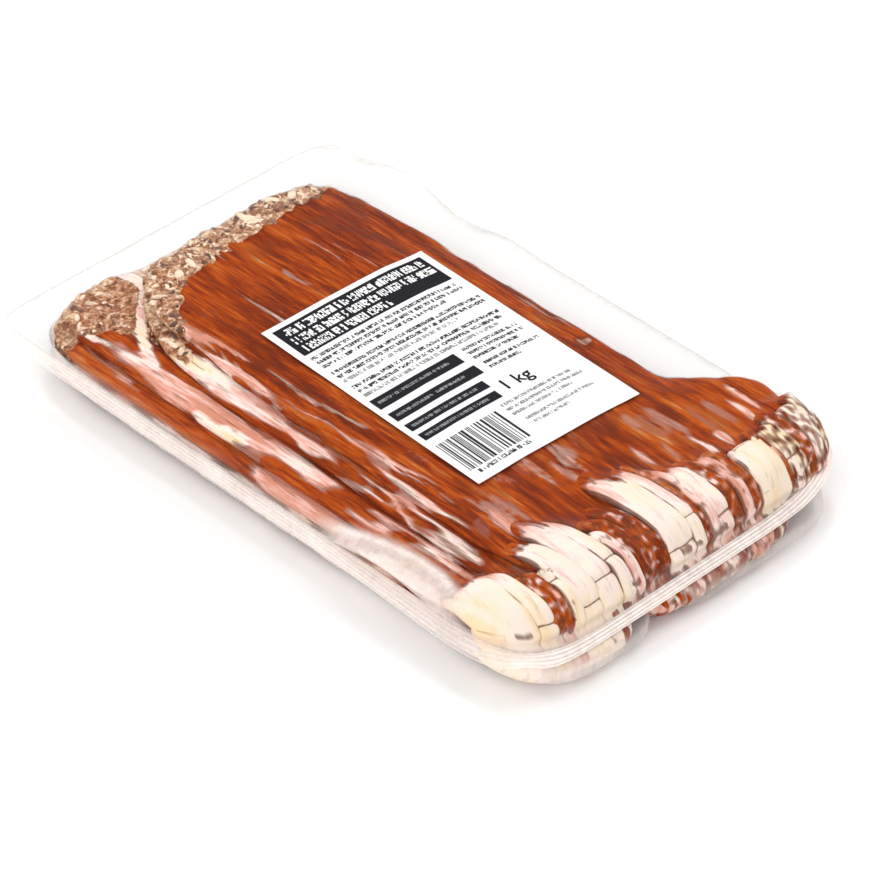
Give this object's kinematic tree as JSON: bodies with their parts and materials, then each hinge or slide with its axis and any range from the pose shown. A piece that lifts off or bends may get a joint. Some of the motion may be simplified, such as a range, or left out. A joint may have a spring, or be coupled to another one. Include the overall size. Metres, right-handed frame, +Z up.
{
  "type": "bacon pack",
  "caption": "Clear vacuum pack of smoked streaky bacon slices, lying flat, with a seal flange at half height and a printed label stuck on top.",
  "frame": {"origin": "middle of the film's outline, on the flat underside of the pack", "axes": "+X along the slices towards their thick fat ends, +Y across the slices towards the wide film web, +Z up through the label"},
  "size_m": [0.3, 0.188, 0.0356],
  "materials": {
    "film": "clear glossy vacuum film",
    "bacon": "smoked lean with cream fat, moist",
    "label": "coated paper, black and grey print"
  },
  "bodies": {
    "root": {"pack": "film", "label": "label"}
  },
  "joints": []
}
